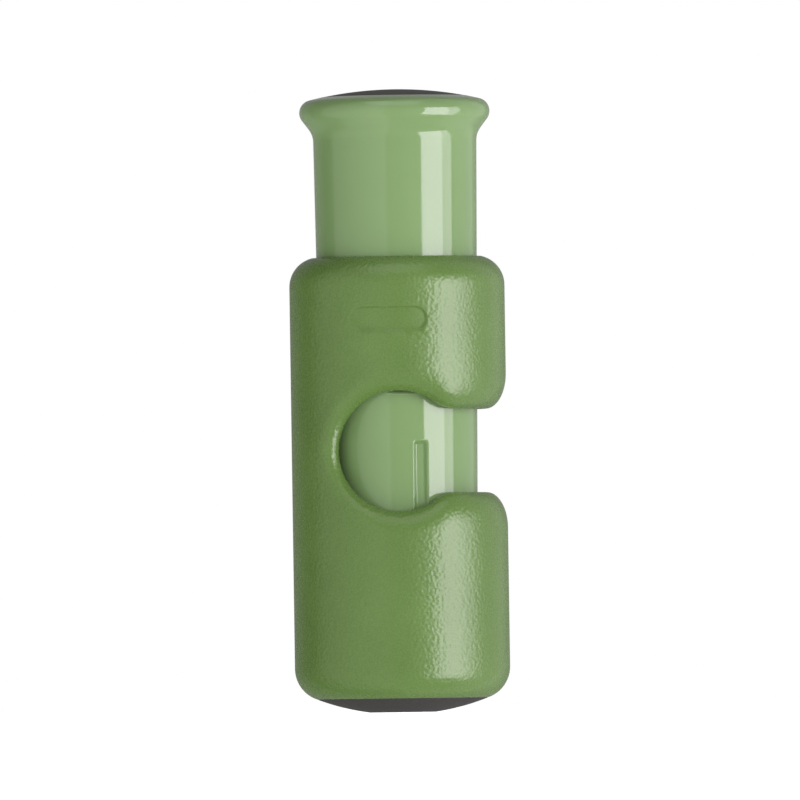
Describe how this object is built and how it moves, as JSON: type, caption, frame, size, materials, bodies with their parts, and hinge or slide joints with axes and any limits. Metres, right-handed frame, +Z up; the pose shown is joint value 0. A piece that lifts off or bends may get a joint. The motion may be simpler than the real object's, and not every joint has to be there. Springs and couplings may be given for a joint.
{
  "type": "bag cinch",
  "caption": "Hand-sized spring-loaded bag clip: a flanged push rod slides in a soft-grip sleeve with an open keyhole notch that clamps a gathered bag.",
  "frame": {"origin": "centre of the flat on the foot pad that the cinch stands on", "axes": "+Z up along the push rod, +X out of the notch's mouth, -Y the front"},
  "size_m": [0.0304, 0.0304, 0.088],
  "materials": {
    "sleeve_elastomer": "soft-touch thermoplastic elastomer, fine stipple",
    "core_plastic": "moulded, satin",
    "pad_elastomer": "moulded, matt",
    "plunger_plastic": "moulded, high gloss",
    "steel": "drawn wire, bright"
  },
  "bodies": {
    "sleeve": {"grip_sleeve": "sleeve_elastomer", "liner_tube": "core_plastic", "end_plug": "core_plastic", "foot_pad": "pad_elastomer", "stop_pins": "steel", "spring": "steel"},
    "plunger": {"plunger": "plunger_plastic", "thumb_cap": "core_plastic", "thumb_pad": "pad_elastomer"}
  },
  "joints": [
    {"name": "plunger_press", "type": "slide", "parent": "sleeve", "child": "plunger", "axis": [0, 0, -1], "range_m": [0, 0.0145], "stiffness_N_per_m": 630, "springref_m": -0.008, "deforming": ["spring"]}
  ]
}
